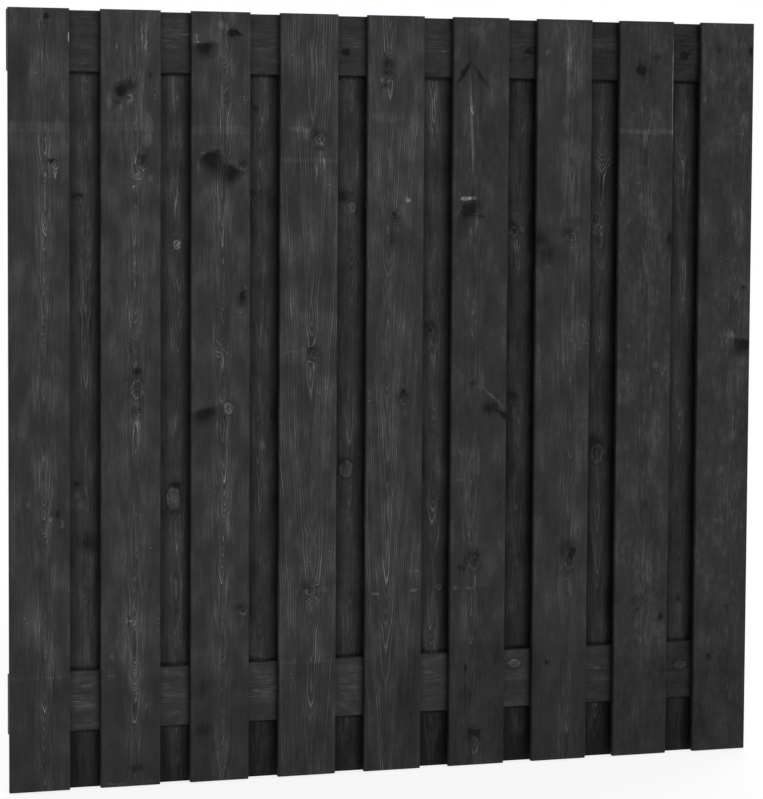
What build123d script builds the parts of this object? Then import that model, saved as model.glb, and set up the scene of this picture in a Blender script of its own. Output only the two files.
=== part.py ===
from build123d import *
import os

# A hit-and-miss fence panel of planed softwood planks, in millimetres.
# +Z is up, the front faces -Y and the origin is under the middle of the panel, on the ground.
# Upright boards stand on both sides of two rails, and each back board covers a gap in front.

# Every board and rail is cut from the same planed plank with rounded long edges
plank_width = 140
plank_thickness = 16
plank_edge_radius = 4

# Overall sizes, and how the boards are spread between the two end boards
panel_width = 1830
panel_height = 1800
front_board_count = 9
front_board_rise = 3  # front boards stand this much above the back boards and the top rail
bottom_rail_lift = 136  # clear height under the bottom rail

# Countersunk wood screw, driven from behind so that the front shows none
screw_length = 25
screw_head_diameter = 8
screw_head_depth = 2.2
screw_shank_diameter = 4
screw_point_length = 5
screw_point_diameter = 0.8
screw_sides = 8  # flats that stand for the round of each screw, because there are so many of them

# Two screws to a crossing, set cornerwise so that neither splits the same grain
front_screw_step_x = 22  # from the board's middle; stays in the strip between two back boards
back_screw_step_x = 40
screw_step_z = 40  # from the rail's middle

board_length = panel_height - front_board_rise
front_board_pitch = (panel_width - plank_width) / (front_board_count - 1)
back_board_count = front_board_count - 1

front_y = -plank_thickness  # middle of the front boards; the rails stand at y = 0
back_y = plank_thickness
rail_rear_y = plank_thickness / 2
back_board_rear_y = back_y + plank_thickness / 2

bottom_rail_z = bottom_rail_lift + plank_width / 2
top_rail_z = board_length - plank_width / 2
rail_heights = {"top": top_rail_z, "bottom": bottom_rail_z}

front_board_xs = [(i - back_board_count / 2) * front_board_pitch for i in range(front_board_count)]
back_board_xs = [x + front_board_pitch / 2 for x in front_board_xs[:-1]]


def screw_planes(xs, step_x, rail_z, y):
    """Planes facing back, one at each screw of a row of crossings on one rail."""
    corners = [(x + side * step_x, rail_z + side * screw_step_z) for x in xs for side in (-1, 1)]
    return [Plane((x, y, z), z_dir=(0, 1, 0)) for x, z in corners]


def upright_planes(x, step_x, y):
    """The screw planes of one upright board, on both rails."""
    return [plane for rail_z in rail_heights.values() for plane in screw_planes([x], step_x, rail_z, y)]


def finish(builder, label):
    """Labels a finished piece and writes it to its own file."""
    builder.part.label = label
    export_step(builder.part, f"parts/{label}.step")


os.makedirs("parts", exist_ok=True)

# One screw, head up at the origin: flat head, cone, plain shank and a tapered point
with BuildPart() as screw:
    with BuildSketch(Plane.XY):
        RegularPolygon(screw_head_diameter / 2, screw_sides)
    with BuildSketch(Plane.XY.offset(-screw_head_depth)):
        RegularPolygon(screw_shank_diameter / 2, screw_sides)
    with BuildSketch(Plane.XY.offset(screw_point_length - screw_length)):
        RegularPolygon(screw_shank_diameter / 2, screw_sides)
    with BuildSketch(Plane.XY.offset(-screw_length)):
        RegularPolygon(screw_point_diameter / 2, screw_sides)
    loft(ruled=True)

# Front boards: the screw points stop inside them, so their faces stay whole
for number, x in enumerate(front_board_xs, start=1):
    with BuildPart() as front_board:
        with BuildSketch(Plane((x, front_y, front_board_rise))):
            RectangleRounded(plank_width, plank_thickness, plank_edge_radius)
        extrude(amount=board_length)
        with Locations(*upright_planes(x, front_screw_step_x, rail_rear_y)):
            add(screw.part, mode=Mode.SUBTRACT)
    finish(front_board, f"front_board_{number}")

# Back boards: countersunk from behind, each over the middle of a gap between two front boards
for number, x in enumerate(back_board_xs, start=1):
    with BuildPart() as back_board:
        with BuildSketch(Plane((x, back_y, 0))):
            RectangleRounded(plank_width, plank_thickness, plank_edge_radius)
        extrude(amount=board_length)
        with Locations(*upright_planes(x, back_screw_step_x, back_board_rear_y)):
            add(screw.part, mode=Mode.SUBTRACT)
    finish(back_board, f"back_board_{number}")

# Rails: countersunk for the front boards' screws and drilled for the points of the back boards'
for place, rail_z in rail_heights.items():
    with BuildPart() as rail:
        with BuildSketch(Plane((-panel_width / 2, 0, rail_z), x_dir=(0, 1, 0), z_dir=(1, 0, 0))):
            RectangleRounded(plank_thickness, plank_width, plank_edge_radius)
        extrude(amount=panel_width)
        with Locations(*screw_planes(front_board_xs, front_screw_step_x, rail_z, rail_rear_y)):
            add(screw.part, mode=Mode.SUBTRACT)
        with Locations(*screw_planes(back_board_xs, back_screw_step_x, rail_z, back_board_rear_y)):
            add(screw.part, mode=Mode.SUBTRACT)
    finish(rail, f"{place}_rail")

# The screws of each row of crossings are one node, with one solid for every screw
screw_rows = {
    "front_board_screws": (front_board_xs, front_screw_step_x, rail_rear_y),
    "back_board_screws": (back_board_xs, back_screw_step_x, back_board_rear_y),
}
for row, (xs, step_x, head_y) in screw_rows.items():
    for place, rail_z in rail_heights.items():
        with BuildPart() as screws:
            with Locations(*screw_planes(xs, step_x, rail_z, head_y)):
                add(screw.part)
        finish(screws, f"{row}_{place}")
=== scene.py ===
import math
from collections import namedtuple
from functools import partial

import bmesh
import bpy
from bpy.props import FloatProperty, FloatVectorProperty, PointerProperty
from mathutils import Matrix, Vector


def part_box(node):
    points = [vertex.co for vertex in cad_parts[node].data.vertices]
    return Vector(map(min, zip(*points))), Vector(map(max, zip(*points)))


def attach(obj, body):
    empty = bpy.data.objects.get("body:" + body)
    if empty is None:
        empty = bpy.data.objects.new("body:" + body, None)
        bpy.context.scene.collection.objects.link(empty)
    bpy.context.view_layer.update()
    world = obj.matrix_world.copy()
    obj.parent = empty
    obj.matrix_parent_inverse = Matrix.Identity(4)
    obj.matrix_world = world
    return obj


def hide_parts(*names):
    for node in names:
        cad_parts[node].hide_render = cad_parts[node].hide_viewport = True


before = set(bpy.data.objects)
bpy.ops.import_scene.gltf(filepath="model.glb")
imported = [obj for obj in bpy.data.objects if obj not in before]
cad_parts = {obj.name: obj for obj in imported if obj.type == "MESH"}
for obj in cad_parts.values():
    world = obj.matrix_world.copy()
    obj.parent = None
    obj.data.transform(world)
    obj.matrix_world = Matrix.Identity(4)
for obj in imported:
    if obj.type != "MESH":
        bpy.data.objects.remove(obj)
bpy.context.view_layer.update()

bl_info = {
    "name": "Hit-and-miss fence panel",
    "version": (1, 0, 0),
    "blender": (4, 5, 0),
    "location": "3D View > Sidebar > Fence Panel",
    "description": "Black-stained spruce planks on two rails, with their screws and a pale studio",
    "category": "Object",
}

MM = 0.001
RAIL_NAMES = ("top_rail", "bottom_rail")
SCREW_ROWS = (
    "front_board_screws_top",
    "front_board_screws_bottom",
    "back_board_screws_top",
    "back_board_screws_bottom",
)

# Where the photograph was taken from, in metres and degrees, and its frame in pixels
IMAGE_WIDTH, IMAGE_HEIGHT = 763, 799
CAMERA_PLACE = (-1.746, -5.925, 1.455)
CAMERA_YAW, CAMERA_PITCH, CAMERA_ROLL = 16.449, -3.490, 0.356
FOCAL_LENGTH_PIXELS = 2601.2
LENS_CENTRE_RIGHT_PIXELS, LENS_CENTRE_UP_PIXELS = 12.0, 78.4  # from the middle of the frame, which was cropped
SENSOR_WIDTH_MM = 36

# Floor and lights, in metres and degrees
FLOOR_HALF_SIZE, FLOOR_CELLS = 12, 8
FLOOR_GLOW = 0.8  # makes the floor as white as the background where it is looked at
FLOOR_ROUGHNESS = 0.9
LIGHT_SPREAD = 50
KEY_AZIMUTH, KEY_ELEVATION = 20, 12
BACK_AZIMUTH, BACK_ELEVATION, BACK_SHARE = 150, 20, 0.7

# Screws, in millimetres
SCREW_SIDES = 48
SHANK_RADIUS = 1.8
RECESS_ARM, RECESS_HALF_WIDTH = 1.9, 0.5
RECESS_DEPTH, RECESS_WALL_DEPTH = 1.7, 1.3
RECESS_TIP_SHARE, RECESS_WALL_SHARE, RECESS_LIP_SHARE = 0.15, 0.7, 1.06  # of the cross at its mouth
EDGE_WIDTH, EDGE_DROP = 0.15, 0.1  # soft edge of the head
HEAD_BAND = 0.25  # upright band below that edge
CONE_DEPTH = 2.2
POINT_START, POINT_END, POINT_RADIUS = 20, 24.8, 0.3
SAME_LEVEL, SAME_HEAD = 0.1, 10  # corners of the CAD screws this near to each other are one head
TURN_STEP, ROW_STEPS = 2.4, 5  # each screw stops at a turn of its own: radians to the next, and steps to the next row
SHARP_ANGLE = 35  # degrees
CRYSTAL_SIZE = 0.5
RUBBED_GAIN = 2.2  # how much lighter the coating is where it is rubbed
COATED_FROM, RUBBED_FROM = 0.35, 0.75
COATING_ROUGHNESS = (0.3, 0.7, 0.6, 0.42)  # a span, like those of the wood

# What one plank shows, in millimetres: across from its middle, and up from the ground
Knot = namedtuple("Knot", "across up width length look")
Eye = namedtuple("Eye", "across up width length lift")
Mark = namedtuple("Mark", "across up width length tone edge lean sharp", defaults=(0, 1))
Dust = namedtuple("Dust", "across up width length")
# Tone is how light the stain is, heart and depth are where the middle of the log lay, ring is one year's growth and
# lean that of the growth cones, grain is how strong the lines are and straight how far they go on beside the heart,
# and below the foot the plank is darker, which is painted shade
Plank = namedtuple("Plank", "tone heart depth ring lean grain straight foot knots eyes marks dust", defaults=((),))
# Painted shade cast by the boards in front: a face darkens from open to closed, counted from the middle of the gap that
# shows it, and edges are painted shadow lines on its front face
GapShade = namedtuple("GapShade", "open closed tone middle pitch edges")

FULL_WIDTH = 100000  # a mark this wide is a band right across the plank
# Painted shadow: a dark line on the back boards just beyond each edge of a rail, where the rail casts its shade
RAIL_SHADOW_LINE = Mark(0, 0, FULL_WIDTH, 6, -0.2, 0.3)
RAIL_SHADOW_LINE_OFF = 3  # from the edge of the rail to the middle of the line
# Painted shade: the back boards are darker towards the ground
PAINTED_FOOT_SHADE = Mark(0, 0, FULL_WIDTH, 160, -0.15, 0.7)
# Shares of a ringed knot's size: resin bleeds out above it, and the planer leaves it a light tail below
RESIN = Mark(-0.5, 1.1, 2.4, 1.7, -0.2, 0)
TAIL = Mark(0.1, -2.6, 0.5, 2.2, 0.14, 0.1)
BACK_SEED, RAIL_SEED = 20, 40  # added to a plank's number, so that no two planks have the same figure
FRONT_BOARD_PITCH = 211.25
MOST_BACK_PLANKS = {"depth": 14, "ring": 3.0, "lean": 0.06, "grain": 0.7, "straight": 0.15, "foot": 60}

FRONT_PLANKS = [
    Plank(
        tone=0.02, heart=12, depth=13, ring=2.6, lean=0.1, grain=1, straight=0.1, foot=265,
        knots=[Knot(17, 1780, 10, 8, "dark"), Knot(33, 1447, 6, 6, "ringed"), Knot(38, 645, 10, 10, "smudge")],
        eyes=[Eye(24, 1639, 10, 50, -6), Eye(21, 1560, 7, 32, 5), Eye(16, 1397, 7, 12, 12), Eye(14, 1333, 11, 88, -9),
         Eye(12, 1213, 7, 32, -5), Eye(7, 1113, 12, 50, -10), Eye(4, 864, 10, 138, -4), Eye(2, 680, 11, 70, -9),
         Eye(6, 568, 10, 32, 6), Eye(4, 401, 10, 115, -4), Eye(4, 144, 10, 92, -5)],
        marks=[Mark(22, 1774, 12, 7, 0.14, 0.1), Mark(68, 1735, 3, 14, 0.45, 0.65), Mark(-17, 1657, 12, 32, 0.1, 0),
         Mark(-21, 1628, 10, 18, 0.08, 0), Mark(0, 1530, FULL_WIDTH, 14, 0.06, 0.75), Mark(45, 1537, 19, 32, 0.08, 0),
         Mark(28, 1454, 14, 8, -0.32, 0), Mark(38, 1422, 3, 14, 0.4, 0.3), Mark(40, 1438, 5, 5, 0.4, 0.2),
         Mark(-27, 668, 7, 9, 0.15, 0.1), Mark(52, 622, 6, 18, 0.24, 0.1), Mark(27, 634, 8, 12, 0.2, 0.1),
         Mark(0, 268, FULL_WIDTH, 5, 0.07, 0.5), Mark(-40, 1663, 40, 148, -0.08, 0.1)],
        dust=[Dust(47, 254, 8, 24), Dust(-30, 238, 6, 16)],
    ),
    Plank(
        tone=0.03, heart=9, depth=13, ring=2.6, lean=0.1, grain=1, straight=0.12, foot=250,
        knots=[Knot(-34, 1590, 6, 6, "smudge"), Knot(29, 1441, 8, 8, "ringed"), Knot(14, 930, 14, 23, "ringed"),
         Knot(14, 870, 8, 9, "ringed"), Knot(3, 387, 7, 9, "pale")],
        eyes=[Eye(3, 1598, 9, 15, 15), Eye(5, 1552, 12, 42, -8), Eye(8, 1399, 9, 17, 15), Eye(8, 1372, 10, 23, 6),
         Eye(8, 1205, 10, 105, -7), Eye(6, 1032, 10, 42, 6), Eye(17, 819, 10, 32, -6), Eye(17, 762, 10, 28, -6),
         Eye(17, 661, 10, 42, -6), Eye(17, 563, 10, 50, -9), Eye(2, 322, 24, 62, -30), Eye(-26, 322, 14, 30, 16)],
        marks=[Mark(31, 1736, 19, 74, 0.1, 0.1), Mark(14, 1746, 4, 58, 0.26, 0.1), Mark(26, 1746, 3, 50, 0.26, 0.1),
         Mark(35, 1736, 4, 64, 0.24, 0.1), Mark(-33, 1716, 3, 12, 0.3, 0.2), Mark(-27, 1612, 26, 62, -0.6, 0, -127, 4),
         Mark(43, 1652, 8, 16, -0.22, 0.1), Mark(-50, 1590, 9, 30, 0.2, 0.1), Mark(-24, 1577, 7, 9, 0.2, 0.1),
         Mark(41, 1529, 12, 46, 0.14, 0.55), Mark(37, 1502, 17, 18, 0.1, 0.7),
         Mark(0, 1533, FULL_WIDTH, 12, 0.04, 0.75), Mark(25, 1463, 19, 12, -0.32, 0.1), Mark(27, 1434, 4, 5, 0.35, 0.2),
         Mark(46, 1415, 10, 14, 0.15, 0.1), Mark(8, 1205, 5, 88, 0.18, 0.2), Mark(16, 970, 16, 12, -0.32, 0.1),
         Mark(-43, 310, 7, 12, 0.18, 0.1), Mark(-46, 265, 14, 4, 0.15, 0.2), Mark(14, 44, 32, 16, -0.2, 0.1),
         Mark(38, 192, 3, 14, 0.22, 0.2), Mark(54, 1228, 5, 46, 0.1, 0.1), Mark(-35, 10, 34, 5, 0.2, 0.2),
         Mark(48, 12, 18, 6, 0.2, 0.2)],
        dust=[Dust(51, 730, 8, 60), Dust(49, 556, 10, 24), Dust(69, 392, 6, 60), Dust(55, 1628, 8, 60)],
    ),
    Plank(
        tone=0.01, heart=6, depth=12, ring=2.5, lean=0.1, grain=1, straight=0.1, foot=260,
        knots=[Knot(23, 1752, 9, 11, "dark"), Knot(54, 1442, 8, 8, "ringed"), Knot(51, 1143, 8, 10, "dark"),
         Knot(20, 881, 11, 13, "pale"), Knot(54, 402, 12, 9, "ringed")],
        eyes=[Eye(3, 1595, 10, 46, 9), Eye(4, 1301, 10, 64, -7), Eye(7, 1201, 9, 28, -7), Eye(5, 1065, 10, 58, 6),
         Eye(3, 991, 11, 32, 12), Eye(16, 703, 12, 88, -9), Eye(17, 461, 12, 42, 12), Eye(15, 315, 10, 28, -6),
         Eye(18, 220, 10, 28, 7)],
        marks=[Mark(3, 1769, 17, 14, 0.18, 0.1), Mark(38, 1753, 20, 14, -0.42, 0.1, 20, 3),
         Mark(-40, 1721, 44, 44, -0.52, 0, -8, 4), Mark(-58, 1742, 9, 7, 0.22, 0.1), Mark(-57, 1730, 10, 5, 0.25, 0.2),
         Mark(25, 1675, 14, 42, 0.14, 0), Mark(3, 1595, 7, 37, 0.22, 0.1), Mark(0, 1528, FULL_WIDTH, 12, 0.06, 0.75),
         Mark(-42, 1473, 14, 9, 0.18, 0.1), Mark(-25, 1468, 40, 64, -0.6, 0, -24, 4.5),
         Mark(30, 1437, 32, 54, -0.58, 0, 28, 4.5), Mark(-22, 1425, 36, 36, -0.14, 0), Mark(-54, 1447, 5, 24, 0.2, 0.1),
         Mark(4, 1476, 6, 28, 0.22, 0.2), Mark(4, 1308, 7, 58, 0.1, 0.1), Mark(48, 1128, 16, 16, -0.22, 0),
         Mark(60, 1162, 3, 9, 0.2, 0.2), Mark(3, 984, 10, 18, 0.16, 0.1), Mark(-36, 874, 58, 42, -0.44, 0, -18, 3),
         Mark(20, 881, 12, 14, -0.1, 0), Mark(6, 856, 14, 22, -0.29, 0), Mark(17, 461, 8, 28, 0.1, 0.1),
         Mark(54, 394, 10, 9, 0.2, 0.2), Mark(-44, 220, 26, 43, -0.14, 0), Mark(-39, 125, 38, 24, -0.18, 0)],
        dust=[Dust(-57, 1732, 8, 12), Dust(49, 1606, 10, 30)],
    ),
    Plank(
        tone=0.0, heart=8, depth=16, ring=6.0, lean=0.05, grain=0.9, straight=0.8, foot=270,
        knots=[Knot(26, 1508, 12, 12, "ringed"), Knot(14, 1003, 10, 10, "ringed"), Knot(7, 443, 12, 12, "ringed"),
         Knot(-36, 238, 4, 4, "pale")],
        eyes=[Eye(3, 1272, 15, 153, -5), Eye(9, 1085, 12, 28, -6), Eye(2, 963, 12, 24, -6), Eye(8, 779, 20, 140, -5),
         Eye(9, 578, 15, 28, 6), Eye(10, 371, 15, 24, -10), Eye(10, 304, 15, 46, -8), Eye(11, 209, 15, 37, -8)],
        marks=[Mark(-4, 1519, 15, 21, 0.13, 0.45), Mark(26, 1487, 20, 9, -0.22, 0.1), Mark(-23, 1531, 34, 10, 0.1, 0.6),
         Mark(0, 1459, FULL_WIDTH, 7, 0.07, 0.6), Mark(16, 1427, 3, 31, 0.35, 0.3), Mark(36, 1451, 3, 19, 0.3, 0.3),
         Mark(-13, 1014, 10, 10, 0.08, 0.1), Mark(-40, 1010, 30, 3, 0.1, 0.3), Mark(44, 447, 20, 12, 0.12, 0.1),
         Mark(0, 275, FULL_WIDTH, 5, 0.05, 0.5), Mark(65, 137, 5, 46, 0.12, 0.1), Mark(34, 1707, 6, 70, 0.14, 0.1)],
        dust=[Dust(58, 65, 8, 50), Dust(56, 519, 6, 40), Dust(-7, 1272, 6, 40)],
    ),
    Plank(
        tone=-0.01, heart=-17, depth=15, ring=5.0, lean=0.06, grain=0.9, straight=0.7, foot=275,
        knots=[Knot(-24, 1686, 12, 12, "smudge"), Knot(-19, 1659, 8, 6, "ringed"), Knot(-3, 1334, 8, 6, "dark"),
         Knot(4, 1315, 7, 6, "ringed"), Knot(21, 913, 6, 6, "dark"), Knot(26, 890, 10, 10, "ringed")],
        eyes=[Eye(-17, 1130, 12, 70, 6), Eye(-19, 1023, 10, 60, -8), Eye(-16, 944, 9, 28, -6),
         Eye(-14, 522, 10, 82, -7), Eye(-18, 254, 12, 100, 6)],
        marks=[Mark(-36, 1649, 5, 7, 0.4, 0.2), Mark(-27, 1635, 14, 12, -0.23, 0.1), Mark(-17, 1727, 10, 14, 0.14, 0),
         Mark(-21, 1561, 45, 14, 0.06, 0.7), Mark(-13, 1447, 8, 46, 0.12, 0.1), Mark(-20, 1298, 6, 17, 0.2, 0.1),
         Mark(-8, 1275, 11, 28, -0.18, 0), Mark(31, 1367, 8, 8, 0.4, 0.2), Mark(-15, 642, 6, 66, 0.18, 0.3),
         Mark(-15, 546, 5, 36, 0.13, 0.2), Mark(-46, 429, 15, 5, 0.3, 0.4), Mark(51, 434, 12, 5, 0.28, 0.4),
         Mark(60, 481, 12, 3, 0.2, 0.3), Mark(55, 172, 34, 92, -0.09, 0.3)],
        dust=[Dust(27, 1257, 10, 30), Dust(-61, 904, 7, 26), Dust(12, 1353, 10, 16)],
    ),
    Plank(
        tone=-0.05, heart=-18, depth=12, ring=2.8, lean=0.06, grain=0.6, straight=0.1, foot=300,
        knots=[Knot(-30, 1338, 9, 8, "dark"), Knot(-10, 1342, 9, 11, "ringed"), Knot(-11, 922, 6, 6, "ringed"),
         Knot(68, 848, 14, 9, "dark"), Knot(-9, 495, 14, 17, "ringed"), Knot(-28, 242, 5, 8, "dark"),
         Knot(-7, 82, 18, 9, "dark"), Knot(-4, 51, 11, 21, "ringed")],
        eyes=[Eye(-17, 1565, 9, 110, 6), Eye(-15, 1139, 10, 110, -6), Eye(-18, 853, 10, 28, -7),
         Eye(-15, 554, 9, 40, 5), Eye(-12, 381, 10, 60, -6), Eye(-10, 203, 9, 70, 5)],
        marks=[Mark(-5, 1767, 24, 28, 0.1, 0), Mark(-44, 1668, 8, 42, -0.4, 0.2, 33),
         Mark(0, 1658, 9, 56, -0.26, 0.1, -36), Mark(-24, 1552, 4, 172, 0.26, 0.61, -2.5),
         Mark(50, 1594, 60, 75, 0.04, 0.6), Mark(-38, 1370, 15, 6, 0.4, 0.7), Mark(-21, 1371, 13, 5, 0.4, 0.7),
         Mark(-32, 1346, 30, 56, -0.36, 0, 26, 3), Mark(-40, 1299, 30, 40, -0.16, 0),
         Mark(-56, 1338, 5, 26, 0.2, 0.1, 30), Mark(5, 1328, 11, 4, -0.39, 0.1), Mark(-23, 1292, 4, 12, 0.16, 0.1),
         Mark(-19, 1057, 2.5, 105, 0.13, 0.2), Mark(28, 868, 36, 25, -0.28, 0), Mark(36, 894, 6, 52, 0.24, 0.2, -48),
         Mark(56, 856, 8, 24, -0.33, 0.1, -60), Mark(-50, 696, 22, 3, 0.12, 0.3), Mark(-44, 483, 20, 16, -0.23, 0),
         Mark(-56, 437, 8, 7, 0.28, 0.2), Mark(-21, 435, 17, 5, 0.18, 0.3), Mark(0, 311, 50, 3, 0.06, 0.3),
         Mark(-10, 161, 3, 92, 0.08, 0.2)],
        dust=[Dust(42, 949, 9, 46), Dust(-58, 1223, 10, 30)],
    ),
    Plank(
        tone=-0.02, heart=20, depth=14, ring=3.2, lean=0.06, grain=0.8, straight=0.15, foot=270,
        knots=[Knot(20, 1279, 13, 10, "ringed"), Knot(29, 511, 9, 16, "dark"), Knot(24, 493, 15, 24, "ringed"),
         Knot(-32, 243, 5, 8, "dark")],
        eyes=[Eye(12, 1643, 10, 110, 6), Eye(23, 1078, 13, 96, -9), Eye(25, 811, 11, 60, -7), Eye(-5, 506, 11, 43, 6),
         Eye(22, 305, 12, 90, -6)],
        marks=[Mark(10, 1676, 11, 145, 0.22, 0), Mark(5, 1557, 14, 28, 0.1, 0),
         Mark(0, 1663, FULL_WIDTH, 135, 0.03, 0.9), Mark(27, 1313, 36, 26, -0.18, 0), Mark(27, 1284, 6, 8, 0.2, 0.1),
         Mark(-64, 1275, 40, 26, -0.3, 0), Mark(-45, 1298, 40, 22, -0.12, 0), Mark(-56, 1235, 84, 42, -0.26, 0),
         Mark(-36, 1206, 8, 3, 0.3, 0.3), Mark(30, 1217, 22, 48, 0.07, 0), Mark(24, 1120, 9, 110, 0.14, 0.1),
         Mark(21, 432, 6, 48, 0.13, 0.1), Mark(57, 1053, 8, 96, 0.08, 0), Mark(-60, 1005, 5, 36, 0.15, 0.1),
         Mark(-47, 1722, 8, 10, 0.18, 0.1)],
        dust=[Dust(60, 1034, 17, 112), Dust(-57, 969, 7, 60), Dust(17, 1270, 14, 16)],
    ),
    Plank(
        tone=-0.05, heart=2, depth=22, ring=3.2, lean=0.05, grain=0.4, straight=0.15, foot=240,
        knots=[Knot(-15, 1682, 14, 12, "dark"), Knot(25, 1713, 8, 7, "smudge"), Knot(67, 1275, 8, 14, "dark"),
         Knot(-11, 364, 6, 7, "smudge"), Knot(52, 343, 8, 12, "dark")],
        eyes=[Eye(5, 1456, 12, 90, 6), Eye(0, 1010, 12, 140, -6), Eye(5, 609, 12, 140, -6), Eye(5, 254, 12, 90, 6)],
        marks=[Mark(4, 1657, 51, 115, -0.1, 0), Mark(0, 1534, FULL_WIDTH, 8, 0.14, 0.5),
         Mark(68, 1634, 2.5, 158, 0.4, 0.65), Mark(61, 1271, 15, 26, -0.14, 0), Mark(39, 831, 22, 120, 0.08, 0),
         Mark(29, 966, 14, 15, 0.14, 0.1), Mark(11, 880, 22, 24, 0.07, 0), Mark(-11, 386, 30, 20, -0.14, 0),
         Mark(-20, 1411, 8, 9, 0.16, 0.1), Mark(-40, 1012, 8, 9, 0.18, 0.1), Mark(20, 910, 9, 22, 0.14, 0),
         Mark(30, 770, 10, 30, 0.12, 0), Mark(24, 699, 12, 18, 0.14, 0)],
        dust=[Dust(-12, 1361, 36, 18), Dust(-52, 1247, 9, 34), Dust(28, 1144, 16, 14), Dust(-44, 1012, 9, 16),
         Dust(43, 954, 26, 40)],
    ),
    Plank(
        tone=-0.06, heart=30, depth=24, ring=3.6, lean=0.05, grain=0.45, straight=0.25, foot=260,
        knots=[Knot(-22, 1733, 4, 6, "smudge"), Knot(61, 1733, 7, 14, "dark"), Knot(60, 1009, 9, 5, "smudge"),
         Knot(29, 1046, 3, 5, "dark"), Knot(50, 1152, 5, 5, "dark"), Knot(-30, 239, 5, 8, "dark"),
         Knot(14, 362, 3, 4, "smudge")],
        eyes=[Eye(28, 1604, 11, 90, 5), Eye(20, 1308, 12, 150, -6), Eye(25, 659, 12, 150, -6), Eye(20, 305, 12, 90, 5)],
        marks=[Mark(-60, 1692, 8, 70, 0.1, 0), Mark(44, 1572, 3, 19, 0.2, 0.2), Mark(37, 1530, 14, 7, 0.13, 0.1),
         Mark(41, 1335, 8, 72, 0.1, 0), Mark(50, 1020, 38, 48, -0.55, 0, 8, 5), Mark(24, 995, 24, 24, -0.14, 0),
         Mark(20, 1036, 18, 18, 0.2, 0), Mark(-60, 1614, 8, 14, 0.2, 0.1)],
        dust=[Dust(21, 1169, 14, 30), Dust(-9, 1224, 8, 70), Dust(-52, 1101, 10, 30), Dust(10, 1026, 14, 16)],
    ),
]

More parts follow.
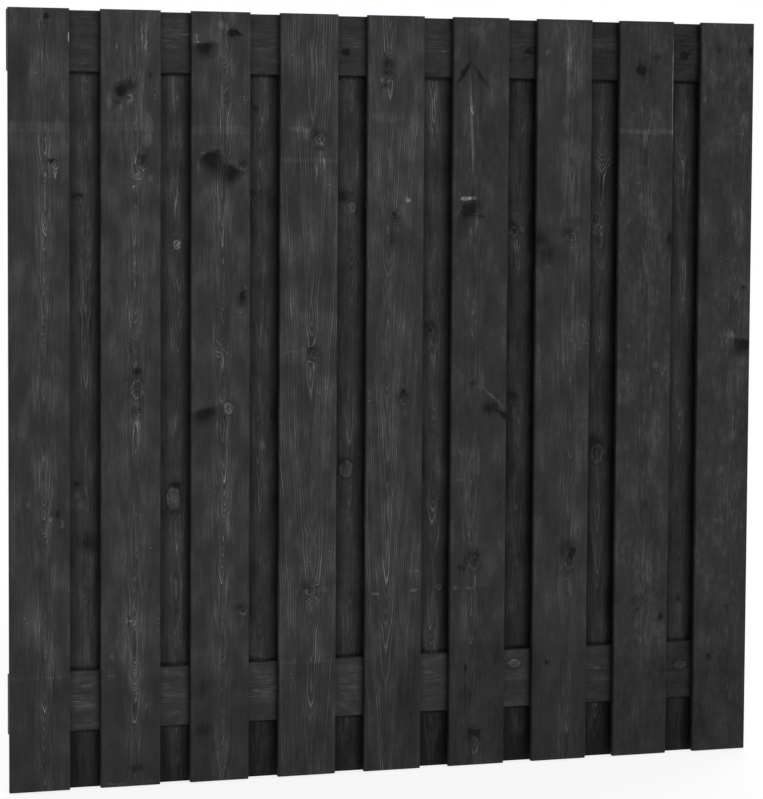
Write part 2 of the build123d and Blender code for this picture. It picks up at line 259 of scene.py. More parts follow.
BACK_PLANKS = [
    Plank(
        tone=-0.04, heart=8, **MOST_BACK_PLANKS,
        knots=[Knot(-11, 1364, 7, 9, "ringed")],
        eyes=[Eye(5, 1159, 12, 110, 8), Eye(0, 497, 10, 40, -7), Eye(0, 386, 10, 40, 6)],
        marks=[Mark(-5, 1377, 12, 8, -0.29, 0), Mark(11, 1318, 6, 36, 0.14, 0.1), Mark(0, 1159, 6, 80, 0.12, 0.1),
         Mark(14, 572, 40, 40, -0.34, 0), Mark(-12, 684, 12, 12, 0.18, 0.1), Mark(-8, 662, 20, 20, 0.14, 0),
         Mark(2, 1639, 10, 14, 0.14, 0), Mark(-14, 709, 14, 8, -0.29, 0)],
    ),
    Plank(
        tone=-0.04, heart=8, **MOST_BACK_PLANKS,
        knots=[Knot(9, 1262, 9, 11, "pale"), Knot(1, 668, 16, 25, "pale")],
        eyes=[Eye(0, 1060, 12, 120, 8), Eye(5, 406, 12, 120, -8)],
        marks=[Mark(1, 668, 11, 18, 0.2, 0.3), Mark(4, 701, 26, 9, -0.36, 0), Mark(1, 1594, 12, 92, 0.08, 0),
         Mark(9, 1377, 6, 85, 0.12, 0.1), Mark(18, 406, 5, 110, 0.12, 0.1), Mark(10, 111, 6, 40, 0.14, 0.1)],
    ),
    Plank(
        tone=-0.08, heart=-5, **MOST_BACK_PLANKS,
        knots=[Knot(34, 858, 12, 18, "dark"), Knot(-22, 1372, 7, 8, "ringed")],
        eyes=[Eye(0, 1159, 12, 120, 8), Eye(0, 508, 12, 120, -6)],
        marks=[Mark(16, 1366, 19, 62, -0.18, 0), Mark(5, 787, 14, 14, 0.18, 0), Mark(0, 1555, 9, 9, 0.16, 0.1),
         Mark(-16, 1578, 12, 12, -0.23, 0.1), Mark(-18, 295, 4, 6, 0.25, 0.1)],
    ),
    Plank(
        tone=-0.09, heart=3, **MOST_BACK_PLANKS,
        knots=[Knot(8, 1348, 8, 12, "pale"), Knot(-4, 728, 15, 19, "pale")],
        eyes=[Eye(0, 1110, 12, 120, 8), Eye(0, 406, 12, 120, 6)],
        marks=[Mark(-10, 1375, 26, 26, -0.29, 0), Mark(-16, 742, 14, 14, -0.25, 0)],
    ),
    Plank(
        tone=-0.08, heart=0, depth=14, ring=3.4, lean=0.08, grain=0.9, straight=0.15, foot=60,
        knots=[Knot(-9, 1055, 9, 11, "eyed"), Knot(18, 434, 8, 9, "pale")],
        eyes=[Eye(8, 1643, 11, 40, 8), Eye(0, 1249, 11, 95, -7), Eye(-2, 995, 12, 46, 9), Eye(9, 878, 11, 50, -8),
         Eye(0, 568, 11, 60, 7), Eye(-3, 362, 12, 60, -8)],
        marks=[Mark(0, 1594, FULL_WIDTH, 75, 0.05, 0.8)],
    ),
    Plank(
        tone=-0.18, heart=3, **MOST_BACK_PLANKS,
        knots=[Knot(-8, 1292, 9, 12, "eyed"), Knot(-6, 882, 10, 10, "ringed")],
        eyes=[Eye(0, 1555, 12, 120, 8), Eye(0, 609, 12, 120, -7)],
        marks=[Mark(12, 1294, 8, 14, 0.2, 0.1), Mark(-5, 1333, 10, 5, 0.12, 0.1), Mark(-10, 376, 10, 10, 0.12, 0.1)],
    ),
    Plank(
        tone=-0.15, heart=2, depth=14, ring=3.6, lean=0.1, grain=1.1, straight=0.15, foot=60,
        knots=[Knot(-1, 748, 15, 24, "ringed"), Knot(-12, 1318, 9, 12, "dark"), Knot(-8, 1274, 6, 8, "smudge")],
        eyes=[Eye(0, 1565, 16, 80, -12), Eye(0, 1427, 18, 110, 13), Eye(-5, 1149, 14, 60, 10)],
        marks=[Mark(0, 1506, 10, 110, 0.14, 0)],
    ),
    Plank(
        tone=-0.12, heart=5, **MOST_BACK_PLANKS,
        knots=[Knot(4, 382, 8, 10, "smudge")],
        eyes=[Eye(0, 1447, 11, 45, 8), Eye(0, 1010, 12, 140, -7), Eye(5, 335, 11, 50, -8)],
        marks=[Mark(10, 1594, 5, 40, 0.16, 0.1), Mark(0, 1447, 8, 40, 0.1, 0), Mark(8, 398, 6, 6, 0.16, 0.1),
         Mark(8, 345, 8, 40, 0.08, 0)],
    ),
]

# The rails are measured the same way, with the middle of the panel in place of the ground
RAIL_PLANKS = [
    Plank(
        tone=-0.07, heart=12, depth=16, ring=3.4, lean=0.04, grain=0.45, straight=0.3, foot=-2000,
        knots=[Knot(-15, -120, 10, 12, "dark"), Knot(-5, 335, 7, 12, "dark"), Knot(-8, 738, 12, 13, "dark")],
        eyes=[Eye(5, -550, 12, 120, 9), Eye(5, 250, 12, 120, -9)],
        marks=[Mark(0, 900, FULL_WIDTH, 1250, -0.15, 0.05), Mark(-14, -739, 3, 34, 0.14, 0.1),
         Mark(-10, -528, 3, 30, 0.12, 0.1), Mark(-12, -317, 3, 30, 0.12, 0.1), Mark(-8, 120, 3, 22, 0.2, 0.1),
         Mark(-12, 528, 3, 30, 0.12, 0.1)],
    ),
    Plank(
        tone=0.01, heart=5, depth=16, ring=3.4, lean=0.05, grain=0.5, straight=0.3, foot=-2000,
        knots=[Knot(37, 312, 10, 15, "pale"), Knot(12, 745, 10, 16, "pale")],
        eyes=[Eye(25, -735, 12, 90, 9), Eye(25, -325, 12, 90, -9), Eye(15, 110, 12, 90, 9), Eye(10, 528, 12, 70, -9)],
        marks=[Mark(0, 900, FULL_WIDTH, 850, -0.22, 0.05), Mark(35, -735, 8, 30, 0.16, 0.1),
         Mark(34, -325, 7, 25, 0.16, 0.1), Mark(26, 90, 7, 25, 0.18, 0.1), Mark(14, 528, 8, 20, 0.15, 0.1)],
    ),
]

# How each kind of knot shades from its middle outwards: share of its reach, and tone (0.5 leaves the wood as it is)
KNOT_REACH = 2.5
PLAIN_WOOD = 0.5
KNOT_LOOKS = {
    "dark": ((0.0, 0.06), (0.2, 0.1), (0.36, 0.28), (0.5, 0.46), (0.62, 0.44), (1.0, 0.5)),
    "smudge": ((0.0, 0.16), (0.25, 0.26), (0.5, 0.42), (1.0, 0.5)),
    "eyed": ((0.0, 0.08), (0.12, 0.2), (0.24, 0.46), (0.33, 0.64), (0.44, 0.38), (0.6, 0.45), (1.0, 0.5)),
    "ringed": ((0.0, 0.62), (0.1, 0.38), (0.25, 0.42), (0.35, 0.64), (0.46, 0.38), (0.6, 0.45), (1.0, 0.5)),
    "pale": ((0.0, 0.56), (0.25, 0.6), (0.36, 0.7), (0.46, 0.36), (0.65, 0.46), (1.0, 0.5)),
}
TORN_LOOKS = ("dark", "smudge")  # these have the most ragged outlines
RINGED_LOOKS = ("ringed", "eyed")

# Patterns in the wood: size across and along the plank in millimetres, detail and roughness of the noise,
# and what the plank's seed is multiplied by to give it a place of its own in the pattern
Pattern = namedtuple("Pattern", "across along detail roughness apart")
WARP = Pattern(35, 110, 2, 0.5, 7.3)  # bends the rings
RAGGED = Pattern(9, 13, 3, 0.6, 4.3)  # frays the outlines of knots and stains
FEATHER = Pattern(5, 50, 3, 0.5, 1)  # frays the ring lines
TAKEN = Pattern(70, 130, 1, 0.5, 6.1)  # where the ring lines took more or less stain
PATCH = Pattern(40, 90, 3, 0.5, 2.1)  # where the stain lies thick or thin
BLOTCH = Pattern(12, 22, 2, 0.6, 3.7)  # mottles the faces that show little grain
FIBRE = Pattern(3.4, 90, 3, 0.6, 1.7)  # streaks along the grain
HEART_SWAY_LENGTH, HEART_SWAY_APART = 420, 3.1
CONE_SWAY_LENGTH, CONE_SWAY_APART = 150, 5.7
YEAR_APART = 11
NOISE_MIDDLE = 0.5

# How far these push the rings and outlines, in millimetres: across, through and along the plank
WARP_PUSH = (10, 4, 40)
TORN_PUSH = (16, 0, 18)
RAGGED_PUSH = (13, 0, 15)
HEART_SWAY = 12
CONE_SWAY = 110  # length of plank over which the lean of the growth cones comes and goes
FEATHER_PUSH, STRAIGHT_FEATHER_LOSS = 3.4, 2.6
KNOT_LIFT = 16  # how far a knot pushes the growth rings outwards
EYE_REACH = 2
BOLD_LIFT = 14  # round the eyes that rise or sink this much the lines stand out
BOLD_CORE, BOLD_GAIN = 0.3, 0.6

# Growth lines: share of the year and strength, and where they show
YEAR_SHADES = ((0, 0.2), (0.5, 0), (0.82, 1), (1, 0.2))
FAINTEST_YEAR = 0.15
FLAT_FROM, FLAT_TO = 10, 36  # millimetres from the heart between which the lines fade
KNOT_LINES = 0.035  # more line for each millimetre that a knot lifts the rings
TAKEN_SPAN = (0.35, 0.65, 0.4, 1.3)  # a span is what comes in, from and to, and what goes out, from and to

# Shares of the tone, which runs from black through the stain to worn wood
STAIN_TONE = 0.22  # tone of the plain stain before the rings, patches and fibres are added to it
LINE_SHARE, PATCH_SHARE, FIBRE_SHARE = 0.46, 0.52, 0.66
STRAIGHT_FIBRE_LOSS = 0.6
BLOTCH_SHARE, PLAIN_BLOTCH_SHARE = 0.03, 0.2  # everywhere, and more where the grain is weak
BLOTCH_SPAN = (0.42, 0.8, 0, 1)
FIBRE_SPAN = (0, 1, 0.45, 1.1)
CLEAN_EDGE = 0.6  # marks with a harder edge than this aren't ragged
# Painted shade at the foot of each plank: how soft its upper edge is in millimetres, and how much darker it is
FOOT_BLEND, FOOT_TONE = 30, -0.09
SPECK_SPACING = 7
SPECK_SPAN = (0.08, 0.25, 0.5, 0)
SPECK_CHANCE, SPECKED = 0.3, (0.88, 0.98, 0, 1)
CLUSTER_CORE, CLUSTER_GAIN = 0.2, 0.5
COLOUR_TONES = {"knot": 0.12, "stain": 0.5, "ring": 0.8, "worn": 1}
BUMP_STRENGTH, BUMP_HEIGHT = 0.6, 0.4
WOOD_ROUGHNESS = (0.25, 0.75, 0.5, 0.66)
WOOD_IOR, WOOD_SHEEN = 1.5, 0.15


def hex_to_linear(text):
    """The linear colour of an sRGB hex value such as #2E2E2E."""
    parts = [int(text[i:i + 2], 16) / 255 for i in (1, 3, 5)]
    return tuple(c / 12.92 if c <= 0.04045 else ((c + 0.055) / 1.055) ** 2.4 for c in parts)


COLOUR = {"subtype": "COLOR", "size": 3, "min": 0, "max": 1}


class FencePanelStain(bpy.types.PropertyGroup):
    stain: FloatVectorProperty(
        name="Stain", description="Colour of the stained wood between the growth rings",
        **COLOUR, default=hex_to_linear("#343434"))
    ring: FloatVectorProperty(
        name="Ring lines", description="Colour of the hard ring lines, which take less stain",
        **COLOUR, default=hex_to_linear("#585858"))
    worn: FloatVectorProperty(
        name="Worn wood", description="Colour of rubbed edges, scuffs and dust",
        **COLOUR, default=hex_to_linear("#949494"))
    knot: FloatVectorProperty(
        name="Knots", description="Colour where knots drink the most stain",
        **COLOUR, default=hex_to_linear("#080808"))


class FencePanelScrewSizes(bpy.types.PropertyGroup):
    coating: FloatVectorProperty(
        name="Coating", description="Colour of the black-coated screws",
        **COLOUR, default=hex_to_linear("#2A2A2C"))
    head_diameter: FloatProperty(
        name="Head diameter", description="Across the countersunk head",
        subtype="DISTANCE", unit="LENGTH", min=0.004, max=0.0069, default=0.0068)
    head_sink: FloatProperty(
        name="Head sink", description="How far the head is driven below the wood",
        subtype="DISTANCE", unit="LENGTH", min=0, max=0.001, default=0.0003)


class FencePanelStudio(bpy.types.PropertyGroup):
    floor: FloatVectorProperty(
        name="Floor", description="Colour of the pale floor and background",
        **COLOUR, default=hex_to_linear("#FFFFFF"))
    paper: FloatVectorProperty(
        name="Paper", description="Shade of the floor's paper, which throws light back at the panel",
        **COLOUR, default=hex_to_linear("#AAAAAA"))
    key_strength: FloatProperty(
        name="Key light", description="Strength of the broad soft light at the right",
        min=0, default=1.75)
    ambient: FloatProperty(
        name="Ambient", description="Light that comes evenly from all round",
        subtype="FACTOR", min=0, max=1, default=0.3)


def add_node(tree, kind, inputs=(), output=0, stops=(), **settings):
    """Adds a node with its settings and colour stops, sets or links its inputs, and gives one of its outputs.

    The inputs are a list in the order of the node's sockets, or a dictionary by their names.
    """
    node = tree.nodes.new(kind)
    for name, value in settings.items():
        setattr(node, name, value)
    for place, colour in stops[2:]:
        node.color_ramp.elements.new(place)
    for element, (place, colour) in zip(node.color_ramp.elements if stops else (), stops):
        element.position = place
        element.color = (*colour, 1)
    for key, value in inputs.items() if isinstance(inputs, dict) else enumerate(inputs):
        if isinstance(value, bpy.types.NodeSocket):
            tree.links.new(value, node.inputs[key])
        else:
            node.inputs[key].default_value = value
    return node.outputs[output] if output is not None else None


def new_material(name):
    material = bpy.data.materials.new(name)
    material.use_nodes = True
    material.node_tree.nodes.clear()
    return material, material.node_tree


def far_from(tree, spot, feature, reach=1):
    """How far a spot lies from a knot, eye, mark or cluster of dust, as a share of that feature's reach."""
    size = Vector((feature.width * reach, FULL_WIDTH, feature.length * reach))
    place = Vector((feature.across, 0, feature.up))
    lean = getattr(feature, "lean", 0)
    if lean:
        near = add_node(tree, "ShaderNodeMapping", {
            "Vector": spot, "Location": place, "Rotation": (0, math.radians(lean), 0), "Scale": size},
            vector_type="TEXTURE")
    else:
        near = add_node(tree, "ShaderNodeVectorMath", [
            spot, [1 / s for s in size], [-p / s for p, s in zip(place, size)]], operation="MULTIPLY_ADD")
    sharp = getattr(feature, "sharp", 1)
    if sharp > 1:
        # A torn patch breaks off sharply at the top and fades away downwards
        sides = add_node(tree, "ShaderNodeSeparateXYZ", [near]).node.outputs
        above = add_node(tree, "ShaderNodeMath", [sides[2], sharp], operation="MULTIPLY")
        below = add_node(tree, "ShaderNodeMath", [sides[2], -1], operation="MULTIPLY")
        tall = add_node(tree, "ShaderNodeMath", [above, below], operation="MAXIMUM")
        near = add_node(tree, "ShaderNodeCombineXYZ", [sides[0], 0, tall])
    return add_node(tree, "ShaderNodeVectorMath", [near], "Value", operation="LENGTH")


def stained_spruce(name, plank, node_name, seed, lengthways, gap_shade=None):
    """Spruce plank, sawn and planed, dipped in a thin black stain.

    The soft wood drinks the stain and goes near black, the hard ring lines take less and stay grey,
    knots go blacker than the rest, and the planed surface keeps a low satin sheen.
    """
    colours = bpy.context.scene.fence_panel_stain
    low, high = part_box(node_name)
    middle = (low + high) / 2
    material, tree = new_material(name)
    add = partial(add_node, tree)
    number, vector, noise, span, ramp = (
        "ShaderNodeMath", "ShaderNodeVectorMath", "ShaderNodeTexNoise", "ShaderNodeMapRange", "ShaderNodeValToRGB")
    smooth = {"interpolation_type": "SMOOTHSTEP"}

    # Plank's own axes in millimetres: across its face, through its thickness, and along its grain
    place = add("ShaderNodeTexCoord", output="Object")
    shift = (-middle.x, -middle.y, 0)
    if lengthways == "X":
        parts = add("ShaderNodeSeparateXYZ", [place]).node.outputs
        place = add("ShaderNodeCombineXYZ", [parts[2], parts[1], parts[0]])
        shift = (-middle.z, -middle.y, 0)
    spot = add(vector, [place, (1 / MM,) * 3, [v / MM for v in shift]], operation="MULTIPLY_ADD")
    sides = add("ShaderNodeSeparateXYZ", [spot]).node.outputs
    front = add(number, [sides[1], 0], operation="LESS_THAN")

    # Noise of every pattern. Wood never grows dead straight: the warp pushes the rings about by a few millimetres,
    # and the fibres go with them
    grown = spot
    fields = {}
    for pattern in (WARP, RAGGED, FEATHER, TAKEN, PATCH, BLOTCH, FIBRE):
        scale = (1 / pattern.across, 1 / pattern.across, 1 / pattern.along)
        where = grown if pattern == FIBRE else spot
        at = add(vector, [where, scale, (seed * pattern.apart,) * 3], operation="MULTIPLY_ADD")
        fields[pattern] = add(noise, {
            "Vector": at, "Scale": 1, "Detail": pattern.detail, "Roughness": pattern.roughness}).node.outputs
        if pattern == WARP:
            push = add(vector, [fields[WARP]["Color"], (NOISE_MIDDLE,) * 3], operation="SUBTRACT")
            grown = add(vector, [push, WARP_PUSH, spot], operation="MULTIPLY_ADD")
    across, through, along = add("ShaderNodeSeparateXYZ", [grown]).node.outputs
    # Knots and stains have ragged outlines
    push = add(vector, [fields[RAGGED]["Color"], (NOISE_MIDDLE,) * 3], operation="SUBTRACT")
    torn = add(vector, [push, TORN_PUSH, spot], operation="MULTIPLY_ADD")
    ragged = add(vector, [push, RAGGED_PUSH, spot], operation="MULTIPLY_ADD")

    # Heart of the log: it sways behind the plank, and the cones of growth cut its face in arches that point down
    at = add(number, [along, 1 / HEART_SWAY_LENGTH, seed * HEART_SWAY_APART], operation="MULTIPLY_ADD")
    sway = add(noise, {"W": at, "Scale": 1, "Detail": 1}, noise_dimensions="1D")
    heart = add(number, [sway, HEART_SWAY, plank.heart - HEART_SWAY / 2], operation="MULTIPLY_ADD")
    off_heart = add(number, [across, heart], operation="SUBTRACT")
    off_depth = add(number, [through, plank.depth], operation="ADD")
    from_heart = add("ShaderNodeCombineXYZ", [off_heart, off_depth])
    radius = add(vector, [from_heart], "Value", operation="LENGTH")
    radius = add(number, [along, -plank.lean, radius], operation="MULTIPLY_ADD")
    at = add(number, [along, 1 / CONE_SWAY_LENGTH, seed * CONE_SWAY_APART], operation="MULTIPLY_ADD")
    sway = add(noise, {"W": at, "Scale": 1, "Detail": 1}, noise_dimensions="1D")
    radius = add(number, [sway, plank.lean * CONE_SWAY, radius], operation="MULTIPLY_ADD")

    # Eyes are the ovals where the face grazes a bulge or a hollow of the log
    bold = 0
    for eye in plank.eyes:
        far = far_from(tree, grown, eye, EYE_REACH)
        if abs(eye.lift) >= BOLD_LIFT:
            near = add(span, [far, BOLD_CORE, 1, BOLD_GAIN, 0], **smooth)
            bold = add(number, [bold, near], operation="ADD")
        lift = add(span, [far, 0, 1, eye.lift, 0], **smooth)
        radius = add(number, [radius, lift], operation="ADD")

    # Knots push the rings aside and have a shading of their own
    tone = STAIN_TONE + plank.tone
    swell = 0
    for knot in plank.knots:
        far = far_from(tree, torn if knot.look in TORN_LOOKS else ragged, knot, KNOT_REACH)
        lift = add(span, [far, 0, 1, KNOT_LIFT, 0], **smooth)
        swell = add(number, [swell, lift], operation="ADD")
        shade = add(ramp, [far], stops=[(share, (grey,) * 3) for share, grey in KNOT_LOOKS[knot.look]])
        shade = add(number, [shade, PLAIN_WOOD], operation="SUBTRACT")
        tone = add(number, [tone, shade], operation="ADD")
    radius = add(number, [radius, swell], operation="ADD")

    # Growth rings: each ends in a thin hard line, strong in some years and faint in others
    feather_push = FEATHER_PUSH - STRAIGHT_FEATHER_LOSS * plank.straight
    feathered = add(number, [fields[FEATHER]["Fac"], feather_push, radius], operation="MULTIPLY_ADD")
    year = add(number, [feathered, 1 / plank.ring, seed * YEAR_APART], operation="MULTIPLY_ADD")
    season = add(number, [year], operation="FRACT")
    line = add(ramp, [season], stops=[(share, (grey,) * 3) for share, grey in YEAR_SHADES])
    which_year = add(number, [year], operation="FLOOR")
    good_year = add("ShaderNodeTexWhiteNoise", {"W": which_year}, noise_dimensions="1D")
    strong = add(span, [good_year, 0, 1, FAINTEST_YEAR, 1])
    line = add(number, [line, strong], operation="MULTIPLY")
    # The lines stand out where the saw ran flat to the rings and round the knots, and fade towards the edges
    aside = add(number, [off_heart], operation="ABSOLUTE")
    flat = add(span, [aside, FLAT_FROM, FLAT_TO, 1, plank.straight], **smooth)
    flat = add(number, [swell, KNOT_LINES, flat], operation="MULTIPLY_ADD")
    taken = add(span, [fields[TAKEN]["Fac"], *TAKEN_SPAN])
    shown = add(number, [flat, taken, bold], operation="MULTIPLY_ADD")
    line = add(number, [line, shown], operation="MULTIPLY")

    # The stain lies unevenly in broad patches and follows the fibres
    patch, fibre = fields[PATCH]["Fac"], fields[FIBRE]["Fac"]
    # Where the grain hardly shows the face is mottled by blotches about 15 mm across
    blotch = add(span, [fields[BLOTCH]["Fac"], *BLOTCH_SPAN])
    # Fibres are finer than a pixel here, so they are drawn as streaks about 3 mm wide.
    # Beside the heart the planed face is smoother, and they hardly show there
    streak = add(number, [fibre, NOISE_MIDDLE], operation="SUBTRACT")
    rough = add(span, [flat, *FIBRE_SPAN])
    streak = add(number, [streak, rough], operation="MULTIPLY")
    shares = (
        (LINE_SHARE * plank.grain, line),
        (PATCH_SHARE, patch),
        (BLOTCH_SHARE + PLAIN_BLOTCH_SHARE * (1 - plank.grain), blotch),
        (FIBRE_SHARE * (1 - STRAIGHT_FIBRE_LOSS * plank.straight), streak),
    )
    for share, part in shares:
        tone = add(number, [part, share, tone], operation="MULTIPLY_ADD")

    # Bands left by the stacking sticks, smears, rubs, what the ringed knots leave, and on the front face only the
    # painted shadow lines along the rails
    marks = list(plank.marks)
    for knot in plank.knots:
        for part in (RESIN, TAIL) if knot.look in RINGED_LOOKS else ():
            marks.append(part._replace(
                across=knot.across + part.across * knot.width, up=knot.up + part.up * knot.length,
                width=part.width * knot.width, length=part.length * knot.length))
    edges = gap_shade.edges if gap_shade else []
    for mark, side in [(mark, 1) for mark in marks] + [(mark, front) for mark in edges]:
        far = far_from(tree, spot if mark.edge > CLEAN_EDGE else torn, mark)
        shade = add(span, [far, mark.edge, 1, mark.tone, 0], **smooth)
        tone = add(number, [shade, side, tone], operation="MULTIPLY_ADD")
    # Painted shade: the foot of the plank is darker, where less light reaches the bottom of the panel
    foot = add(span, [along, plank.foot - FOOT_BLEND, plank.foot + FOOT_BLEND, FOOT_TONE, 0], **smooth)
    tone = add(number, [tone, foot], operation="ADD")

    # Painted shade: on the front face the boards in front darken the wood from open to closed, out from the middle of
    # the gap
    if gap_shade:
        if lengthways == "X":
            from_gap = add(number, [sides[2], gap_shade.pitch / 2], operation="PINGPONG")
            from_gap = add(number, [gap_shade.pitch / 2, from_gap], operation="SUBTRACT")
        else:
            from_gap = add(number, [sides[0], gap_shade.middle], operation="SUBTRACT")
            from_gap = add(number, [from_gap], operation="ABSOLUTE")
        shade = add(span, [from_gap, gap_shade.open, gap_shade.closed, 0, gap_shade.tone], **smooth)
        tone = add(number, [shade, front, tone], operation="MULTIPLY_ADD")

    # Dust and tiny chips: grains under 1 mm in clusters, drawn about 2.5 mm wide so that they show
    grains = add("ShaderNodeTexVoronoi", {
        "Vector": spot, "Scale": 1 / SPECK_SPACING, "Randomness": 1}).node.outputs
    speck = add(span, [grains["Distance"], *SPECK_SPAN])
    pick = add("ShaderNodeSeparateXYZ", [grains["Color"]])
    many = add(number, [pick, SPECK_CHANCE, patch], operation="MULTIPLY_ADD")
    for cluster in plank.dust:
        far = far_from(tree, torn, cluster)
        near = add(span, [far, CLUSTER_CORE, 1, CLUSTER_GAIN, 0], **smooth)
        many = add(number, [many, near], operation="ADD")
    some = add(span, [many, *SPECKED])
    tone = add(number, [speck, some, tone], operation="MULTIPLY_ADD")

    colour = add(ramp, [tone], stops=[(at, getattr(colours, name)) for name, at in COLOUR_TONES.items()])
    bump = add("ShaderNodeBump", {"Strength": BUMP_STRENGTH, "Distance": BUMP_HEIGHT * MM, "Height": fibre})
    roughness = add(span, [fibre, *WOOD_ROUGHNESS])
    surface = add("ShaderNodeBsdfPrincipled", {
        "Base Color": colour, "Roughness": roughness, "Normal": bump,
        "IOR": WOOD_IOR, "Specular IOR Level": WOOD_SHEEN})
    add("ShaderNodeOutputMaterial", {"Surface": surface}, None)
    return material


def dress(node_name, material):
    """Gives a CAD plank its own material in every slot."""
    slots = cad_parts[node_name].material_slots
    if not slots:
        raise RuntimeError(f"{node_name} has no material slot")
    for slot in slots:
        slot.material = material


class FENCE_OT_front_boards(bpy.types.Operator):
    """Stain the nine front boards, each with its own grain and knots"""
    bl_idname = "fence.front_boards"
    bl_label = "Front Boards"

    def execute(self, context):
        for number, plank in enumerate(FRONT_PLANKS, start=1):
            node_name = f"front_board_{number}"
            dress(node_name, stained_spruce(f"stained_spruce_{node_name}", plank, node_name, number, "Z"))
        return {"FINISHED"}


class FENCE_OT_back_boards(bpy.types.Operator):
    """Stain the eight back boards that cover the gaps"""
    bl_idname = "fence.back_boards"
    bl_label = "Back Boards"

    def execute(self, context):
        # Painted shadow: a dark line on each back board along both edges of each rail, where the rail's shade falls
        edges = []
        for rail in RAIL_NAMES:
            low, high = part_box(rail)
            for up in (low.z / MM - RAIL_SHADOW_LINE_OFF, high.z / MM + RAIL_SHADOW_LINE_OFF):
                edges.append(RAIL_SHADOW_LINE._replace(up=up))
        # Painted shade: each back board darkens towards the front boards on either side of its gap
        gap_shade = GapShade(open=6, closed=38, tone=-0.2, middle=7, pitch=None, edges=edges)
        for number, plank in enumerate(BACK_PLANKS, start=1):
            # every back board gets the painted shade at its foot
            plank = plank._replace(marks=[*plank.marks, PAINTED_FOOT_SHADE])
            node_name = f"back_board_{number}"
            dress(node_name, stained_spruce(
                f"stained_spruce_{node_name}", plank, node_name, number + BACK_SEED, "Z", gap_shade))
        return {"FINISHED"}


class FENCE_OT_rails(bpy.types.Operator):
    """Stain the two rails, with their grain along the panel"""
    bl_idname = "fence.rails"
    bl_label = "Rails"

    def execute(self, context):
        # Painted shade: within each gap the rail darkens towards the front boards on either side
        gap_shade = GapShade(open=16, closed=40, tone=-0.14, middle=0, pitch=FRONT_BOARD_PITCH, edges=[])
        for number, (node_name, plank) in enumerate(zip(RAIL_NAMES, RAIL_PLANKS)):
            dress(node_name, stained_spruce(
                f"stained_spruce_{node_name}", plank, node_name, number + RAIL_SEED, "X", gap_shade))
        return {"FINISHED"}


def coated_steel(name):
    """Hardened steel wood screw with a black phosphate coating.

    The crystals of the coating scatter the light, so the heads are dull charcoal with a faint metal gleam.
    """
    colours = bpy.context.scene.fence_panel_screws
    material, tree = new_material(name)
    place = add_node(tree, "ShaderNodeTexCoord", output="Object")
    # Phosphate crystals are about 0.02 mm, so their clusters are drawn about 0.5 mm wide
    grain = add_node(tree, "ShaderNodeTexNoise", {"Vector": place, "Scale": 1 / (CRYSTAL_SIZE * MM), "Detail": 3})
    rubbed = [min(1, c * RUBBED_GAIN) for c in colours.coating]
    stops = [(COATED_FROM, colours.coating), (RUBBED_FROM, rubbed)]
    colour = add_node(tree, "ShaderNodeValToRGB", [grain], stops=stops)
    roughness = add_node(tree, "ShaderNodeMapRange", [grain, *COATING_ROUGHNESS])
    surface = add_node(tree, "ShaderNodeBsdfPrincipled", {
        "Base Color": colour, "Metallic": 1.0, "Roughness": roughness})
    add_node(tree, "ShaderNodeOutputMaterial", {"Surface": surface}, None)
    return material


def head_places(node_name):
    """Middle of every screw head in a CAD row of screws, which all face +Y."""
    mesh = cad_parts[node_name].data
    top = max(v.co.y for v in mesh.vertices)
    heads = []
    for vertex in mesh.vertices:
        if vertex.co.y < top - SAME_LEVEL * MM:
            continue
        for head in heads:
            if (head[0] - vertex.co).length < SAME_HEAD * MM:
                head.append(vertex.co)
                break
        else:
            heads.append([vertex.co])
    middles = []
    for head in heads:
        x = [co.x for co in head]
        z = [co.z for co in head]
        middles.append(Vector(((min(x) + max(x)) / 2, top, (min(z) + max(z)) / 2)))
    return middles


def cross_reach(angle):
    """How far the cross recess reaches from its middle in one direction, in millimetres."""
    least = 1e-6  # keeps the divisions clear of zero
    c, s = max(abs(math.cos(angle)), least), max(abs(math.sin(angle)), least)
    return max(min(RECESS_ARM / c, RECESS_HALF_WIDTH / s), min(RECESS_ARM / s, RECESS_HALF_WIDTH / c))


def screw_rings(head_radius, sink):
    """Rings of a screw from the bottom of its recess to its point: shape, size and depth in millimetres."""
    return [
        (cross_reach, RECESS_TIP_SHARE, sink + RECESS_DEPTH),
        (cross_reach, RECESS_WALL_SHARE, sink + RECESS_WALL_DEPTH),
        (cross_reach, 1, sink + EDGE_DROP),
        (cross_reach, RECESS_LIP_SHARE, sink),
        (None, head_radius - EDGE_WIDTH, sink),
        (None, head_radius, sink + EDGE_DROP),
        (None, head_radius, sink + HEAD_BAND),
        (None, SHANK_RADIUS, sink + CONE_DEPTH),
        (None, SHANK_RADIUS, POINT_START),
        (None, POINT_RADIUS, POINT_END),
    ]


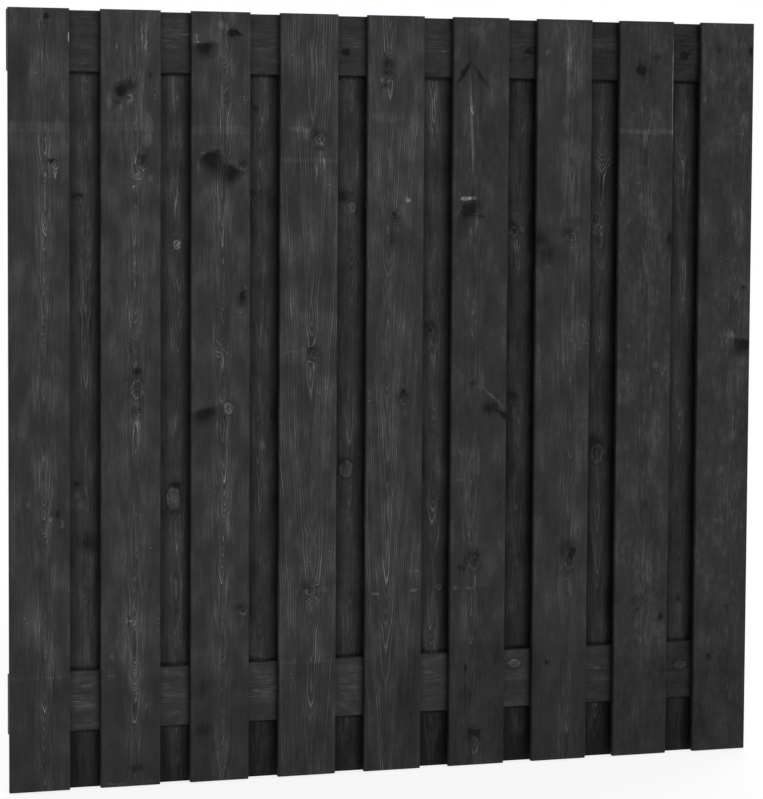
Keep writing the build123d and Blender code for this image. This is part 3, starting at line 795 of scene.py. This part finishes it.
class FENCE_OT_screws(bpy.types.Operator):
    """Make the four rows of countersunk wood screws with cross recesses"""
    bl_idname = "fence.screws"
    bl_label = "Screws"

    def execute(self, context):
        sizes = context.scene.fence_panel_screws
        steel = coated_steel("phosphate_coated_steel")
        rings = screw_rings(sizes.head_diameter / MM / 2, sizes.head_sink / MM)
        for row, node_name in enumerate(SCREW_ROWS):
            shape = bmesh.new()
            heads = head_places(node_name)
            if not heads:
                raise RuntimeError(f"{node_name} has no screw heads")
            for count, head in enumerate(heads):
                turn = TURN_STEP * (count + ROW_STEPS * row)
                loops = []
                for outline, size, depth in rings:
                    loop = []
                    for step in range(SCREW_SIDES):
                        angle = 2 * math.pi * step / SCREW_SIDES
                        reach = (outline(angle) * size if outline else size) * MM
                        loop.append(shape.verts.new(head + Vector((
                            reach * math.cos(angle + turn), -depth * MM, reach * math.sin(angle + turn)))))
                    loops.append(loop)
                shape.faces.new(loops[0])
                shape.faces.new(loops[-1])
                for inner, outer in zip(loops, loops[1:]):
                    for step in range(SCREW_SIDES):
                        after = (step + 1) % SCREW_SIDES
                        shape.faces.new((inner[step], inner[after], outer[after], outer[step]))
            bmesh.ops.recalc_face_normals(shape, faces=shape.faces)
            mesh = bpy.data.meshes.new(node_name)
            shape.to_mesh(mesh)
            shape.free()
            mesh.shade_smooth()
            mesh.set_sharp_from_angle(angle=math.radians(SHARP_ANGLE))
            mesh.materials.append(steel)
            piece = bpy.data.objects.new(f"{node_name}_made", mesh)
            context.scene.collection.objects.link(piece)
            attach(piece, "root")
            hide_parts(node_name)
        return {"FINISHED"}


def looked_at(tree):
    """Is 1 for the rays of the camera, also by way of gloss or glass, and 0 for the rays that light the panel."""
    rays = add_node(tree, "ShaderNodeLightPath").node.outputs
    seen = rays["Is Camera Ray"]
    for kind in ("Is Glossy Ray", "Is Transmission Ray"):
        seen = add_node(tree, "ShaderNodeMath", [seen, rays[kind]], operation="MAXIMUM")
    return seen


class FENCE_OT_stage(bpy.types.Operator):
    """Set up the pale floor, the soft studio light and the camera"""
    bl_idname = "fence.stage"
    bl_label = "Stage"

    def execute(self, context):
        studio = context.scene.fence_panel_studio
        scene = context.scene
        scene.view_settings.view_transform = "Standard"

        # Floor: white paper that keeps a soft shadow at the foot of the panel
        mesh = bpy.data.meshes.new("floor")
        shape = bmesh.new()
        bmesh.ops.create_grid(shape, x_segments=FLOOR_CELLS, y_segments=FLOOR_CELLS, size=FLOOR_HALF_SIZE)
        shape.to_mesh(mesh)
        shape.free()
        floor = bpy.data.objects.new("floor", mesh)
        scene.collection.objects.link(floor)
        material, tree = new_material("white_paper_floor")
        glow = add_node(tree, "ShaderNodeMath", [looked_at(tree), FLOOR_GLOW], operation="MULTIPLY")
        paper = add_node(tree, "ShaderNodeBsdfPrincipled", {
            "Base Color": (*studio.paper, 1), "Roughness": FLOOR_ROUGHNESS, "Specular IOR Level": 0.0,
            "Emission Color": (*studio.floor, 1), "Emission Strength": glow})
        add_node(tree, "ShaderNodeOutputMaterial", {"Surface": paper}, None)
        mesh.materials.append(material)

        # World: even light from all round, and plain white where it is seen
        world = bpy.data.worlds.new("white_studio")
        scene.world = world
        world.use_nodes = True
        tree = world.node_tree
        tree.nodes.clear()
        level = add_node(tree, "ShaderNodeMapRange", [looked_at(tree), 0, 1, studio.ambient, 1])
        light = add_node(tree, "ShaderNodeBackground", {"Color": (*studio.floor, 1), "Strength": level})
        add_node(tree, "ShaderNodeOutputWorld", {"Surface": light}, None)

        # Key: broad soft light from the right, only a little above level; a weaker one lights the back
        for name, azimuth, elevation, strength in (
            ("key_light", KEY_AZIMUTH, KEY_ELEVATION, studio.key_strength),
            ("back_light", BACK_AZIMUTH, BACK_ELEVATION, studio.key_strength * BACK_SHARE),
        ):
            lamp = bpy.data.lights.new(name, "SUN")
            lamp.energy = strength
            lamp.angle = math.radians(LIGHT_SPREAD)
            key = bpy.data.objects.new(name, lamp)
            scene.collection.objects.link(key)
            azimuth, elevation = math.radians(azimuth), math.radians(elevation)
            toward = Vector((math.sin(azimuth) * math.cos(elevation), -math.cos(azimuth) * math.cos(elevation),
                             math.sin(elevation)))
            key.rotation_euler = (-toward).to_track_quat("-Z", "Y").to_euler()
            key.visible_glossy = False

        # Camera: where the photograph was taken from
        yaw, pitch, roll = (math.radians(v) for v in (CAMERA_YAW, CAMERA_PITCH, CAMERA_ROLL))
        ahead = Vector((math.sin(yaw) * math.cos(pitch), math.cos(yaw) * math.cos(pitch), math.sin(pitch)))
        level_right = Vector((math.cos(yaw), -math.sin(yaw), 0))
        level_up = level_right.cross(ahead)
        right = level_right * math.cos(roll) + level_up * math.sin(roll)
        up = level_up * math.cos(roll) - level_right * math.sin(roll)
        lens = bpy.data.cameras.new("camera")
        lens.sensor_width = SENSOR_WIDTH_MM
        frame_pixels = max(IMAGE_WIDTH, IMAGE_HEIGHT)
        lens.lens = FOCAL_LENGTH_PIXELS / frame_pixels * SENSOR_WIDTH_MM
        lens.shift_x = -LENS_CENTRE_RIGHT_PIXELS / frame_pixels
        lens.shift_y = -LENS_CENTRE_UP_PIXELS / frame_pixels
        camera = bpy.data.objects.new("camera", lens)
        camera.matrix_world = Matrix.Translation(CAMERA_PLACE) @ Matrix((right, up, -ahead)).transposed().to_4x4()
        scene.collection.objects.link(camera)
        scene.camera = camera
        return {"FINISHED"}


class FENCE_PT_sidebar(bpy.types.Panel):
    """Lists the pieces of the panel and the values that change them"""
    bl_idname = "FENCE_PT_sidebar"
    bl_label = "Fence Panel"
    bl_space_type = "VIEW_3D"
    bl_region_type = "UI"
    bl_category = "Fence Panel"

    def draw(self, context):
        scene = context.scene
        for group, operators in (
            (scene.fence_panel_stain, (FENCE_OT_front_boards, FENCE_OT_back_boards, FENCE_OT_rails)),
            (scene.fence_panel_screws, (FENCE_OT_screws,)),
            (scene.fence_panel_studio, (FENCE_OT_stage,)),
        ):
            box = self.layout.box()
            for name in group.__annotations__:
                box.prop(group, name)
            for operator in operators:
                box.operator(operator.bl_idname)


CLASSES = (
    FencePanelStain,
    FencePanelScrewSizes,
    FencePanelStudio,
    FENCE_OT_front_boards,
    FENCE_OT_back_boards,
    FENCE_OT_rails,
    FENCE_OT_screws,
    FENCE_OT_stage,
    FENCE_PT_sidebar,
)


def register():
    for cls in CLASSES:
        bpy.utils.register_class(cls)
    bpy.types.Scene.fence_panel_stain = PointerProperty(type=FencePanelStain)
    bpy.types.Scene.fence_panel_screws = PointerProperty(type=FencePanelScrewSizes)
    bpy.types.Scene.fence_panel_studio = PointerProperty(type=FencePanelStudio)


def unregister():
    del bpy.types.Scene.fence_panel_studio
    del bpy.types.Scene.fence_panel_screws
    del bpy.types.Scene.fence_panel_stain
    for cls in reversed(CLASSES):
        bpy.utils.unregister_class(cls)


def main():
    register()
    bpy.ops.fence.front_boards()
    bpy.ops.fence.back_boards()
    bpy.ops.fence.rails()
    bpy.ops.fence.screws()
    bpy.ops.fence.stage()


if __name__ == "__main__":
    main()
